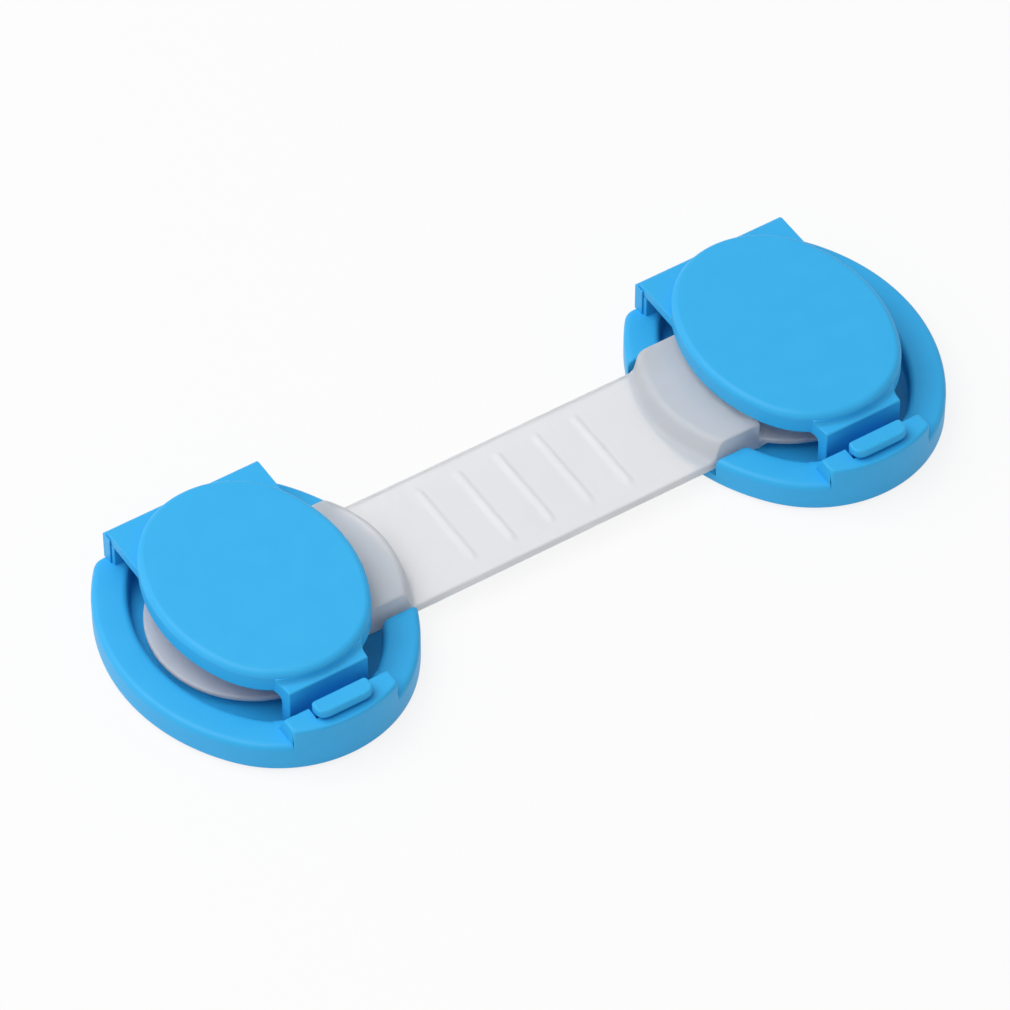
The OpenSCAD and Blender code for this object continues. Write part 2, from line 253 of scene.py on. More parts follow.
def oval(angle, inset, hx, hy, tighten, straight=0.0):
    """Point whose normal has this angle: centre + (radius - inset) * normal. Where straight is 1 the
    inset lines run square to the lock instead of to the arc's centre, as cut by a straight slot."""
    angle, inset, straight = np.broadcast_arrays(np.asarray(angle, float) % 360, inset, straight)
    end, side = arcs(hx, hy, tighten)
    half = np.degrees(np.arctan2(hy - end, side - hx))
    inside = [angle <= half, angle < 180 - half, angle <= 180 + half, angle < 360 - half]
    arc = np.select(inside, [0, 1, 2, 3], 0)
    middle = np.where(angle > 360 - half, 360, arc * 90)
    radius = np.where(arc % 2 == 0, side, end)
    centre = np.stack([np.choose(arc, [hx - side, 0, side - hx, 0]),
                       np.choose(arc, [0, hy - end, 0, end - hy])], -1)
    swing = np.sin(np.radians(angle - middle)) * (1 + straight * (radius / (radius - inset) - 1))
    turned = middle + np.degrees(np.arcsin(np.clip(swing, -1, 1)))
    return centre + (radius - inset)[..., None] * turn(turned)


def oval_rings(section, shape, count=180):
    """Rings round an oval, one for each pair of inset and height in the section."""
    section = np.asarray(section, float)
    flat = oval(np.arange(count)[None, :] * 360 / count, section[:, :1], **shape)
    return np.concatenate([flat, np.broadcast_to(section[:, None, 1:], flat.shape[:2] + (1,))], -1)


def cut_straight(y, limit, soft=0.8):
    """The smaller of y and the limit, less a quarter of soft * h * h, where h falls from 1 at the limit
    to 0 at a distance soft from it, so that the arc runs into the straight line round a soft corner."""
    h = np.clip(1 - np.abs(y - limit) / soft, 0, 1)
    return np.minimum(y, limit) - soft * h * h / 4


print("base arcs, end and side:", np.round(arcs(**BASE), 1), "mm")


# %% [markdown]
# ## Materials
# The locks are moulded in satin blue plastic and the strap in a frosted one that lets some light
# through. The adhesive is foam with small cells under coated paper. A picture could give these
# finishes. A noise needs no picture, has no seams, and on object coordinates it stays with the piece.
# It lets the colour wander a little and makes the surface slightly uneven.

# %% Material maker
BUMP_HEIGHT = 0.0002
NOISE_DETAIL = 3


def new_material(name, roughness, scale, colours, bump):
    """Shader whose colour wanders between two colours with a noise, and whose surface is a little
    uneven."""
    material = bpy.data.materials.new(name)
    material.use_nodes = True
    tree = material.node_tree
    shader = tree.nodes["Principled BSDF"]
    place = tree.nodes.new("ShaderNodeTexCoord")
    noise = tree.nodes.new("ShaderNodeTexNoise")
    noise.inputs["Scale"].default_value = scale
    noise.inputs["Detail"].default_value = NOISE_DETAIL
    ramp = tree.nodes.new("ShaderNodeValToRGB")
    ramp.color_ramp.elements[0].color = (*colours[0], 1)
    ramp.color_ramp.elements[1].color = (*colours[1], 1)
    uneven = tree.nodes.new("ShaderNodeBump")
    uneven.inputs["Strength"].default_value = bump
    uneven.inputs["Distance"].default_value = BUMP_HEIGHT
    tree.links.new(place.outputs["Object"], noise.inputs["Vector"])
    tree.links.new(noise.outputs["Fac"], ramp.inputs["Fac"])
    tree.links.new(ramp.outputs["Color"], shader.inputs["Base Color"])
    tree.links.new(noise.outputs["Fac"], uneven.inputs["Height"])
    tree.links.new(uneven.outputs["Normal"], shader.inputs["Normal"])
    shader.inputs["Roughness"].default_value = roughness
    return material, shader


# %% Finishes
BLUES = [(0.032, 0.45, 0.88), (0.042, 0.48, 0.91)]
MILKS = [(0.95, 0.96, 0.98), (0.97, 0.975, 0.99)]
FOAMS = [(0.62, 0.62, 0.60), (0.86, 0.86, 0.84)]
PAPERS = [(0.84, 0.80, 0.68), (0.90, 0.86, 0.75)]

blue, shader = new_material("satin_blue", 0.45, 260, BLUES, 0.04)
shader.inputs["Specular IOR Level"].default_value = 0.3
milky, shader = new_material("frosted_milky", 0.45, 320, MILKS, 0.05)
shader.inputs["Transmission Weight"].default_value = 0.5
shader.inputs["IOR"].default_value = 1.35
foam, shader = new_material("white_foam", 0.9, 2500, FOAMS, 0.6)
paper, shader = new_material("coated_paper", 0.55, 900, PAPERS, 0.1)
print("materials:", [m.name for m in (blue, milky, foam, paper)])

# %% [markdown]
# ## Base
# The base is an oval dish with a rim that is open towards the strap. At the front the rim rises to a
# block with a pocket for the latch, and behind the hinge the oval is cut straight. It could be cut from
# a solid with Boolean modifiers, but their edges are hard to round evenly. So it is one surface,
# wrapped round the lock in columns. A column is a cross-section: recess, outer wall, top, inner wall,
# floor. Its kind says how the top looks there: rounded rim, open mouth for the strap, sloping end of
# the block, its flat shelf beside the pocket, or its thin front wall behind the latch. Where two kinds
# meet, two columns stand at the same angle and the quads between them make the end face.

# %% Base sizes
# Straight back of the well, heights, rim and roundings
WELL_BACK, FLOOR_Z, BLOCK_Z = 17.6, 2.1, 8.3
RIM_W, RIM_ROUND, EDGE, FILLET = 5.3, 1.2, 0.35, 0.5
BLOCK_ROUND, SLOPE_ROUND, SHELF_ROUND, CRISP = 0.6, 0.4, 0.25, 0.01

# Shares of the rim between which its top is level; where the block's outer wall passes the rim's top
LEVEL_FROM, LEVEL_TO = 0.4, 0.6
PASS_LOW, PASS_HIGH = RIM_Z - 0.3, RIM_Z + 0.6
FLOOR_REACH = 3

# Half widths of mouth, block, pocket and the notch for the latch; front wall, shelf and slope
MOUTH_HY, BLOCK_HX, POCKET_HX, NOTCH_HX = 11.4, 8.5, 6.7, 4.5
BLOCK_WALL, SHELF_Y, SLOPE_FOOT_Y = 1.6, -21.8, -20.1

# Recess for the adhesive, and the peg that the strap's end sits on
RECESS_INSET, RECESS_Z = 2.85, 1.2
PEG_R, PEG_ROUND, PEG_FLOOR_R = 5.0, 0.4, 9.0
PEG_FOOT_MIDDLE, PEG_TOP_MIDDLE = 0.1, 0.12

# Wall under the hinge, and the ledge that the latch's hook holds
WALL_FRONT, WALL_BACK, WALL_LOW, WALL_TOP = WELL_BACK + 0.05, HINGE_Y - 0.2, 1.4, LID_Z - 0.12
LEDGE_HX, LEDGE_FRONT, LEDGE_BACK = NOTCH_HX + 0.2, -25.2, -24.0
LEDGE_LOW, LEDGE_TOP = 7.4, BLOCK_Z - 0.02
WALL_ROUND, LEDGE_ROUND = 0.2, 0.15

# Degrees over which the inset lines turn from square to radial beside the mouth and the block
MOUTH_FADE, BLOCK_FADE = 14, 24
TALL = ["gusset", "shelf", "notch"]
print("base", 2 * BASE["hx"], "mm wide, mouth", 2 * MOUTH_HY, "mm")


# %% Base columns
def base_columns():
    """Normal angle, kind and shrink of each column. Near an end face at distance s = e(1 - cos b) the
    section is smaller by e(1 - sin b), which rounds the end's edges."""
    end, side = arcs(**BASE)
    b = np.radians(np.linspace(0, 90, 5))
    s, shrink = EDGE * (1 - np.cos(b)), EDGE * (1 - np.sin(b))

    def at_y(y):
        return np.degrees(np.arcsin(np.asarray(y) / side))

    def at_x(x):
        return 270 + np.degrees(np.arcsin(np.asarray(x) / end))
    runs = [
        (at_y(np.linspace(-MOUTH_HY, MOUTH_HY, 13)), "mouth", 0),
        (at_y(MOUTH_HY + s), "rim", shrink),
        (np.linspace(at_y(MOUTH_HY + EDGE), at_x(-BLOCK_HX), 140)[1:], "rim", 0),
        (at_x(s - BLOCK_HX), "gusset", shrink),
        (at_x(np.linspace(EDGE - BLOCK_HX, -POCKET_HX, 4)[1:]), "gusset", 0),
        (at_x(np.linspace(-POCKET_HX, -NOTCH_HX, 5)), "shelf", 0),
        (at_x(np.linspace(-NOTCH_HX, NOTCH_HX, 13)), "notch", 0),
        (at_x(np.linspace(NOTCH_HX, POCKET_HX, 5)), "shelf", 0),
        (at_x(np.linspace(POCKET_HX, BLOCK_HX - EDGE, 4)[:-1]), "gusset", 0),
        (at_x(BLOCK_HX - s[::-1]), "gusset", shrink[::-1]),
        (np.linspace(at_x(BLOCK_HX), 360 - at_y(MOUTH_HY + EDGE), 44)[:-1], "rim", 0),
        (360 - at_y(MOUTH_HY + s[::-1]), "rim", shrink[::-1]),
    ]
    angle = np.concatenate([run[0] for run in runs])
    kind = np.repeat([run[1] for run in runs], [len(run[0]) for run in runs])
    small = np.concatenate([np.broadcast_to(run[2], len(run[0])) for run in runs])
    return angle, kind, small


print("base columns:", len(base_columns()[0]))


# %% Base section
def base_section(angle, kind, small):
    """Inset and height of the points of each column, from the recess round the outer wall, over the top
    and down the inner wall to the floor. Corners p1 to p4 span the top: at the sloping ends of
    the block p2 to p3 is the slope, and elsewhere it is level."""
    zero = np.zeros(len(angle))
    gusset, shelf, notch = (kind == word for word in TALL)
    tall = gusset | shelf | notch
    end = arcs(**BASE)[0]
    across = end * np.sin(np.radians(angle - 270))

    def point(inset, z):
        return np.stack(np.broadcast_arrays(inset, z, zero)[:2], -1)

    def line(y):
        return end - np.hypot(y + BASE["hy"] - end, across)
    ridge = np.where(shelf | notch, BLOCK_Z, RIM_Z)
    inner = np.select([gusset, shelf, notch], [RIM_W + zero, line(SHELF_Y), BLOCK_WALL + zero],
                      RIM_W - small)
    low_top = np.where(gusset, RIM_Z, ridge - small)
    p1 = point(small, np.where(tall, BLOCK_Z, RIM_Z) - small)
    p2 = point(np.where(gusset, line(SHELF_Y) - small, LEVEL_FROM * inner), p1[:, 1])
    p3 = point(np.where(gusset, line(SLOPE_FOOT_Y) - small, LEVEL_TO * inner), low_top)
    p4 = point(inner, low_top)
    foot = point(np.where(kind == "rim", RIM_W, inner), FLOOR_Z)
    waist = np.where(kind == "rim", small, 0)
    shoulder = RIM_Z - RIM_ROUND
    soft = np.where(gusset, SLOPE_ROUND, CRISP)
    rows = np.concatenate([
        [point(RECESS_INSET, RECESS_Z), point(RECESS_INSET, BASE_Z)],
        bend(point(RECESS_INSET, BASE_Z), point(0, BASE_Z), point(0, FLOOR_Z), EDGE + zero, 3),
        [point(0, FLOOR_Z), point(waist, FLOOR_Z),
         point(waist, np.where(tall, PASS_LOW, shoulder)),
         point(small, np.where(tall, PASS_HIGH, shoulder))],
        bend(point(small, BASE_Z), p1, p2, np.where(tall, BLOCK_ROUND, RIM_ROUND), 6),
        bend(p1, p2, p3, soft, 3),
        bend(p2, p3, p4, soft, 3),
        bend(p3, p4, foot, np.where(shelf | notch, SHELF_ROUND, RIM_ROUND), 6),
        bend(p4, foot, foot + [FLOOR_REACH, 0], FILLET + zero, 4),
    ])
    rows[:, kind == "mouth", 1] = np.minimum(rows[:, kind == "mouth", 1], FLOOR_Z)
    return rows


print("points in a column:", len(base_section(*base_columns())))


# %% Base surface
def base_wall():
    """The section carried round the base's outline. Beside the mouth and the block the inset lines run
    square to the lock, and a weight turns them to the arc's centre further on. The insets at the back
    give way to straight lines."""
    angle, kind, small = base_columns()
    rows = base_section(angle, kind, small)
    end = arcs(**BASE)[0]
    from_mouth = np.abs((angle + 180) % 360 - 180) - np.abs(angle[kind == "mouth"]).max()
    from_front = np.clip(np.abs(angle - 270), 0.1, 90)
    sine = np.sin(np.radians(from_front))
    leave, arrive = np.abs(angle[np.isin(kind, TALL)] - 270).max() + np.array([0, BLOCK_FADE])
    spread = np.interp(
        from_front, [leave, arrive], [BLOCK_HX, (end - RIM_W) * np.sin(np.radians(arrive))])
    straight = np.maximum(1 - from_mouth / MOUTH_FADE, (spread / sine - end + RIM_W) / RIM_W)
    flat = oval(angle, rows[..., 0], **BASE, straight=np.clip(straight, 0, 1))
    back = np.interp(
        rows[..., 0], [0, RIM_W, 2 * RIM_W], [BASE_BACK, WELL_BACK, WELL_BACK - RIM_W])
    back[:2] = BASE_BACK - RECESS_INSET
    flat[..., 1] = cut_straight(flat[..., 1], back)
    return np.concatenate([flat, rows[..., 1:]], -1)


def lock_base():
    """Wall and floor, which run into the peg in one surface, with the hinge wall and the ledge for the
    latch's hook."""
    outline = oval(base_columns()[0], 0, **BASE)
    round_peg = turn(np.degrees(np.arctan2(outline[:, 1], outline[:, 0])))
    peg = [
        np.insert(r * round_peg, 2, z, axis=1)
        for r, z in [(PEG_FLOOR_R, FLOOR_Z), (PEG_R + PEG_ROUND, FLOOR_Z),
                     (PEG_R + PEG_FOOT_MIDDLE, FLOOR_Z + PEG_FOOT_MIDDLE),
                     (PEG_R, FLOOR_Z + PEG_ROUND),
                     (PEG_R, FLANGE_Z - PEG_ROUND),
                     (PEG_R - PEG_TOP_MIDDLE, FLANGE_Z - PEG_TOP_MIDDLE),
                     (PEG_R - PEG_ROUND, FLANGE_Z)]]
    return [
        loft(np.concatenate([base_wall(), peg])),
        rounded_box([-HINGE_HX, WALL_FRONT, WALL_LOW], [HINGE_HX, WALL_BACK, WALL_TOP], WALL_ROUND),
        rounded_box([-LEDGE_HX, LEDGE_FRONT, LEDGE_LOW],
                    [LEDGE_HX, LEDGE_BACK, LEDGE_TOP], LEDGE_ROUND),
    ]


for side, word in [(-1, "left"), (1, "right")]:
    base = piece(f"{word}_base_moulding", lock_base(), blue, side)
    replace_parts(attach(base, f"{word}_base"), f"{word}_base")


# %% [markdown]
# ## Lid
# The lid is a hollow oval disc with a soft top edge. Behind it lies the hinge plate with a groove for
# the bead of the film. In front is the tab: its top falls in a hollow curve from the disc to a straight
# edge, its flanks flare into the disc, and its leg reaches down to the spring latch. The ring under the
# lid keeps the strap's end in the well. Each of these forms is simple alone, so each is a shell of its
# own that reaches a little into the disc. That is easier to follow than one surface for them all.

# %% Lid disc and hinge plate
LID = dict(hx=14.9, hy=19.2, tighten=1.4)
LID_TOP, LID_WALL, LID_ROUND = 12.6, 1.6, 1.1
LIP_IN, LIP_OUT, LIP_MIDDLE = 0.2, 0.25, 0.07
TOP_INSETS = (2.5, 6, 10)
PLATE_Z, PLATE_Y, PLATE_ROUND, PLATE_END = 10.7, 15, 0.35, 0.12
PLATE_SHORT, GROOVE_GAP, GROOVE_FROM, GROOVE_TO = 0.3, 0.05, 243, 125


def lid_disc():
    """Hollow disc: ceiling, inner wall, lower edge, outer wall, rounded top edge, top."""
    a = np.radians(np.linspace(0, 90, 8))
    edge = np.stack([LID_ROUND * (1 - np.cos(a)), LID_TOP - LID_ROUND * (1 - np.sin(a))], -1)
    section = np.concatenate([
        [(LID_WALL, LID_TOP - LID_WALL), (LID_WALL, LID_Z + LIP_IN), (LID_WALL - LIP_IN, LID_Z),
         (LIP_OUT, LID_Z), (LIP_MIDDLE, LID_Z + LIP_MIDDLE), (0, LID_Z + LIP_OUT)],
        edge, [(inset, LID_TOP) for inset in TOP_INSETS]])
    return loft(oval_rings(section, LID))


def hinge_plate():
    """Plate behind the disc, with the bead's groove along its lower back edge."""
    front, back, low = LID["hy"] / 2, HINGE_Y - PLATE_SHORT, LID_Z - APART
    groove = turn(np.linspace(GROOVE_FROM, GROOVE_TO, 12))
    groove = [HINGE_Y, HINGE_Z] + (BEAD_R + GROOVE_GAP) * groove
    loop = np.concatenate([
        [(front, low), (PLATE_Y, low)], groove,
        bend((back, low), (back, PLATE_Z), (front, PLATE_Z), PLATE_ROUND, 5),
        [(PLATE_Y, PLATE_Z), (front, PLATE_Z)]])
    return soft_prism(loop, HINGE_HX, PLATE_END)


print("lid disc", len(lid_disc()[0]), "points, hinge plate", len(hinge_plate()[0]), "points")

# %% Lid tab and leg
TAB_HX, TAB_Y, TAB_Z, TAB_END, TAB_EDGE = 6.4, -20.0, 10.6, 0.15, 0.35
LEG_T, LEG_Z, LEG_ROUND, LEG_FILLET = 1.8, 2.95, 0.4, 1.8
TAB_HOLLOW, TAB_BITE, TAB_INNER_Y = 1.2, 1.2, -14.5
TAB_INNER_LOW, TAB_INNER_HIGH = LID_Z + 0.1, 11.6
FLARE, FLARE_START, FLARE_LENGTH = 0.13, 0.4, 2.6


def front_tab():
    """Tab and leg: sections in y and z carried along x. In each section the tab's top rises in a hollow
    curve to the disc's outline there. The half width grows by the square of the distance behind the
    front edge."""
    end = arcs(**LID)[0]
    back = TAB_Y + LEG_T
    a = np.radians(np.linspace(90, 0, 5))
    ends = np.stack([TAB_HX - TAB_END * (1 - np.sin(a)), TAB_END * (1 - np.cos(a))], -1)
    middle = np.stack([np.linspace(TAB_HX - TAB_END, TAB_END - TAB_HX, 25)[1:-1], np.zeros(23)], -1)
    rings = []
    for x, inset in np.concatenate([ends, middle, ends[::-1] * [-1, 1]]):
        disc = -(LID["hy"] - end) - np.sqrt(end ** 2 - x ** 2)
        loop = np.concatenate([
            [(disc + TAB_BITE, TAB_INNER_HIGH)],
            bend((disc, LID_TOP), (disc, TAB_Z), (TAB_Y, TAB_Z), TAB_HOLLOW, 8),
            bend((back, TAB_Z), (TAB_Y, TAB_Z), (TAB_Y, LEG_Z), TAB_EDGE, 4),
            bend((TAB_Y, LID_Z), (TAB_Y, LEG_Z), (back, LEG_Z), LEG_ROUND, 3),
            bend((TAB_Y, LEG_Z), (back, LEG_Z), (back, LID_Z), LEG_ROUND, 3),
            bend((back, LEG_Z), (back, LID_Z), (TAB_INNER_Y, LID_Z), LEG_FILLET, 8),
            [(disc + TAB_BITE, TAB_INNER_LOW)]])
        rings.append(np.insert(drawn_in(loop, inset), 0, x, axis=1))
    points, faces = loft(rings)
    behind = np.clip((points[:, 1] - TAB_Y - FLARE_START) / FLARE_LENGTH, 0, 1)
    points[:, 0] *= 1 + FLARE * behind ** 2
    return points, faces


print("tab", len(front_tab()[0]), "points")

# %% Lid ring and the whole lid
FOOT_FRONT, FOOT_BACK, FOOT_T, FOOT_ROUND = -22.2, -18.6, 0.9, 0.2


def hold_down_ring(outer=8.0, inner=6.6, low=5.1, high=11.3, r=0.3, hidden=0.05):
    """Tube under the lid: its section is a box with round lower edges, carried round a circle."""
    section = rounded_loop(
        [(outer, high), (outer, low), (inner, low), (inner, high)], [hidden, r, r, hidden], 3)
    around = turn(np.arange(72) * 5)
    rings = section[:, None, :1] * around[None]
    rings = np.concatenate([rings, np.broadcast_to(section[:, None, 1:], rings.shape[:2] + (1,))], -1)
    return loft(np.concatenate([rings, rings[:1]]), caps=(False, False))


def lock_lid():
    """All shells of the lid, with the foot that carries the latch."""
    foot = rounded_box([-LATCH_HX, FOOT_FRONT, LEG_Z - APART],
                       [LATCH_HX, FOOT_BACK, LEG_Z + FOOT_T], FOOT_ROUND)
    return [lid_disc(), hinge_plate(), front_tab(), hold_down_ring(), foot]


for side, word in [(-1, "left"), (1, "right")]:
    lid = piece(f"{word}_lid_moulding", lock_lid(), blue, side)
    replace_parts(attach(lid, f"{word}_lid"), f"{word}_lid")


# %% [markdown]
# ## Hinge film
# Lid and base are one moulding, joined by a strip so thin that it bends. Here the strip stands behind
# the hinge wall with a bead along its top, which the lid turns about, and a thin web covers each end.
# The strip could be a plane with Solidify. Carrying an outline along the hinge gives the strip and the
# bead in one closed piece.

# %% Hinge film
STRIP_T, STRIP_PAST, STRIP_END = 0.4, 0.2, 0.15
WEB_GAP, WEB_T, WEB_FRONT, WEB_REST, WEB_ROUND = 0.02, 0.25, 1.5, 0.4, 0.1
WEB_LOW = RIM_Z - 0.2


def hinge_film():
    """Strip and bead as one outline in y and z, carried along x, with a thin web across each end."""
    bead = [HINGE_Y, HINGE_Z] + BEAD_R * turn(np.linspace(-66, 246, 22))
    foot = [(HINGE_Y - STRIP_T / 2, RIM_Z), (HINGE_Y + STRIP_T / 2, RIM_Z)]
    strip = soft_prism(np.concatenate([foot, bead]), HINGE_HX + STRIP_PAST, STRIP_END)
    web, faces = rounded_box(
        [HINGE_HX + WEB_GAP, HINGE_Y - WEB_FRONT, WEB_LOW],
        [HINGE_HX + WEB_GAP + WEB_T, HINGE_Y + WEB_REST, HINGE_Z + WEB_REST], WEB_ROUND)
    return [strip, (web, faces), (web * [-1, 1, 1], faces)]


print("film and webs", sum(len(points) for points, faces in hinge_film()), "points")

# %% [markdown]
# ## Latch
# A thin springy finger rises from the foot of the lid's leg. A small hook on it holds under the ledge
# of the base, and a release pad with two round corners sits on top for a finger tip. The finger and the
# pad lie in different planes, so each is one outline carried straight, with soft ends.

# %% Latch, and both films and latches
FINGER_FRONT, FINGER_BACK, FINGER_TOP, FINGER_END = -23.3, -22.4, 9.4, 0.06
ROOT_Y, ROOT_Z = -22.85, 3.4
HOOK_Y, HOOK_LOW, HOOK_HIGH, HOOK_SLOPE, HOOK_ROUND = -23.75, 5.9, 7.15, 0.45, 0.1
PAD_HX, PAD_FRONT, PAD_BACK, PAD_LOW, PAD_TOP = 4.5, -25.2, -22.4, 8.7, 10.2
PAD_FRONT_ROUND, PAD_BACK_ROUND, PAD_EDGE = 2.0, 0.7, 0.35


def lock_latch():
    """Finger and hook as one outline in y and z; the pad as an outline in x and y."""
    root = [ROOT_Y, ROOT_Z] + BEAD_R * turn(np.linspace(-26, -154, 9))
    hook = rounded_loop(
        [(FINGER_FRONT, HOOK_LOW), (HOOK_Y, HOOK_LOW + HOOK_SLOPE),
         (HOOK_Y, HOOK_HIGH), (FINGER_FRONT, HOOK_HIGH)],
        [HOOK_ROUND, HOOK_ROUND, HOOK_ROUND, HOOK_ROUND / 2], 2)
    finger = np.concatenate([[(FINGER_BACK, FINGER_TOP)], root, hook, [(FINGER_FRONT, FINGER_TOP)]])
    pad = rounded_loop(
        [(PAD_HX, PAD_BACK), (-PAD_HX, PAD_BACK), (-PAD_HX, PAD_FRONT), (PAD_HX, PAD_FRONT)],
        [PAD_BACK_ROUND, PAD_BACK_ROUND, PAD_FRONT_ROUND, PAD_FRONT_ROUND], 8)
    return [soft_prism(finger, LATCH_HX, FINGER_END), soft_plate(pad, PAD_LOW, PAD_TOP, PAD_EDGE)]


for side, word in [(-1, "left"), (1, "right")]:
    film = piece(f"{word}_film", hinge_film(), blue, side)
    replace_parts(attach(film, f"{word}_base"), f"{word}_hinge_film")
    latch = piece(f"{word}_latch_moulding", lock_latch(), blue, side)
    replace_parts(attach(latch, f"{word}_latch"), f"{word}_latch")


# %% [markdown]
# ## Adhesive layers
# A foam pad fills the recess under each base, and a paper liner covers it until the lock is stuck on.
# Foam tape is punched from a flat sheet, so it isn't crowned like a cushion. Both layers take the
# base's own outline with an inset, which keeps the border even all round.

# %% Foam pads and liners
LAYER_INSET, LINER_T, FOAM_TOP = 3, 0.2, 1.2
FOAM_EDGE, LINER_EDGE = 0.12, 0.03


def layer(low, high, r):
    """Oval layer inside the base's outline, with slightly soft edges."""
    section = np.array([(LAYER_INSET + r, low), (LAYER_INSET, low + r),
                        (LAYER_INSET, high - r), (LAYER_INSET + r, high)])
    rings = oval_rings(section, BASE)
    rings[..., 1] = cut_straight(rings[..., 1], BASE_BACK - section[:, :1])
    return loft(rings)


for side, word in [(-1, "left"), (1, "right")]:
    pad = piece(f"{word}_foam", [layer(LINER_T, FOAM_TOP, FOAM_EDGE)], foam, side)
    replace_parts(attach(pad, f"{word}_base"), f"{word}_foam_pad")
    cover = piece(f"{word}_liner", [layer(0, LINER_T, LINER_EDGE)], paper, side)
    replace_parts(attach(cover, f"{word}_base"), f"{word}_release_liner")


# %% [markdown]
# ## Strap
# The strap is one moulding from end to end. A round flange with a hole surrounds each peg. Towards the
# strap a raised head fills the mouth of the rim and falls to the strap in a leaning round face. Low
# ribs give grip in the middle. Separate blocks for heads and ribs would leave hard joins, so the top
# between the flanges is one height field over a fine grid.

# %% Strap sizes
STRAP_HY, STRAP_Z, STRAP_TOP, STRAP_SOFT = 10.7, 2.3, 3.9, 0.3
STRAP_L = 2 * abs(LOCK_X)
FLANGE_R, FLANGE_LIFT, FLANGE_SOFT, HOLE_R, HOLE_SOFT = 15.8, 1.3, 0.4, 5.25, 0.25
HEAD_Z, HEAD_X, HEAD_R, HEAD_LEAN = 7.6, 1.9, 20.5, 0.9
HEAD_ROUND, HEAD_FOOT = 1.1, 0.8
RIB_COUNT, RIB_PITCH, RIB_L, RIB_W, RIB_H, RIB_SOFT = 5, 6.65, 15.0, 1.9, 0.35, 0.9

# Grid along the strap: first steps, then even ones. Its rows follow the head's face from FOLLOW_FROM
# before it to FOLLOW_TO past it, and are straight again at FOLLOW_END
FIRST_STEPS, GRID_STEP = (0.01, 0.1, 0.3), 0.19
FOLLOW_FROM, FOLLOW_TO, FOLLOW_END = 3, 1, 6

# Degrees over which the flange's edge fades to the web's thickness
FLANGE_FADE = 4
print("strap", 2 * STRAP_HY, "mm wide,", round(STRAP_TOP - STRAP_Z, 1), "mm thick")


# %% Strap height
def strap_height(x, y):
    """Height of the strap's top: the head's face depends on the distance from a centre behind it, and a
    rib is a raised cosine across x with soft ends along y."""
    lean_in, plain = HEAD_R - HEAD_LEAN, (STRAP_L / 2, STRAP_TOP)
    section = np.concatenate([
        [(0, HEAD_Z)],
        bend((0, HEAD_Z), (lean_in, HEAD_Z), (HEAD_R, STRAP_TOP), HEAD_ROUND, 6),
        bend((lean_in, HEAD_Z), (HEAD_R, STRAP_TOP), plain, HEAD_FOOT, 6), [plain]])
    from_end = np.minimum(x, STRAP_L - x)
    height = np.interp(np.hypot(from_end - HEAD_X, y), section[:, 0], section[:, 1])
    across = (x - STRAP_L / 2 + RIB_PITCH / 2) % RIB_PITCH - RIB_PITCH / 2
    middle = np.abs(x - STRAP_L / 2) < RIB_COUNT / 2 * RIB_PITCH
    along = np.clip((RIB_L / 2 - np.abs(y)) / RIB_SOFT + 0.5, 0, 1)
    wave = 0.5 + 0.5 * np.cos(np.pi * np.clip(np.abs(across) / (RIB_W / 2), 0, 1))
    return height + RIB_H * wave * along * middle


print("rib top at", round(float(strap_height(STRAP_L / 2, 0.0)), 2), "mm")


# %% Strap web
def strap_rows():
    """Places of the strap's points across its width, dense at the round edges, and how far the edge has
    fallen there."""
    b = np.radians(np.linspace(90, 0, 5))
    margin, drop = STRAP_SOFT * (1 - np.sin(b)), STRAP_SOFT * (1 - np.cos(b))
    inner = np.linspace(STRAP_SOFT - STRAP_HY, STRAP_HY - STRAP_SOFT, 57)[1:-1]
    y = np.concatenate([margin - STRAP_HY, inner, (STRAP_HY - margin)[::-1]])
    return y, np.interp(STRAP_HY - np.abs(y), margin, drop)


def strap_web(start, y, fall):
    """Loft of cross-sections between the ends. Near a head the rows of the grid follow its round face,
    so that the face's edge lies along the grid."""
    first, second, third = FIRST_STEPS
    x = np.concatenate([[start, start + first, start + second],
                        np.arange(start + third, STRAP_L / 2, GRID_STEP)])
    x = np.concatenate([x, [STRAP_L / 2], (STRAP_L - x)[::-1]])
    grid_x, grid_y = np.meshgrid(x, y, indexing="ij")
    face = HEAD_X + HEAD_R
    follow = np.interp(
        np.minimum(x, STRAP_L - x),
        [start, face - FOLLOW_FROM, face + FOLLOW_TO, face + FOLLOW_END], [0, 1, 1, 0])
    bulge = HEAD_R - np.sqrt(HEAD_R ** 2 - y ** 2)
    grid_x += np.sign(x - STRAP_L / 2)[:, None] * follow[:, None] * bulge
    top = strap_height(grid_x, grid_y) - fall
    bottom = STRAP_Z + fall + 0 * top
    top[[0, -1]], bottom[[0, -1]] = FLANGE_Z, STRAP_Z
    upper = np.stack([grid_x, grid_y, top], -1)
    lower = np.stack([grid_x, grid_y, bottom], -1)
    return loft(np.concatenate([upper, lower[:, ::-1]], 1), caps=(False, False))


print("points across the strap:", len(strap_rows()[0]))


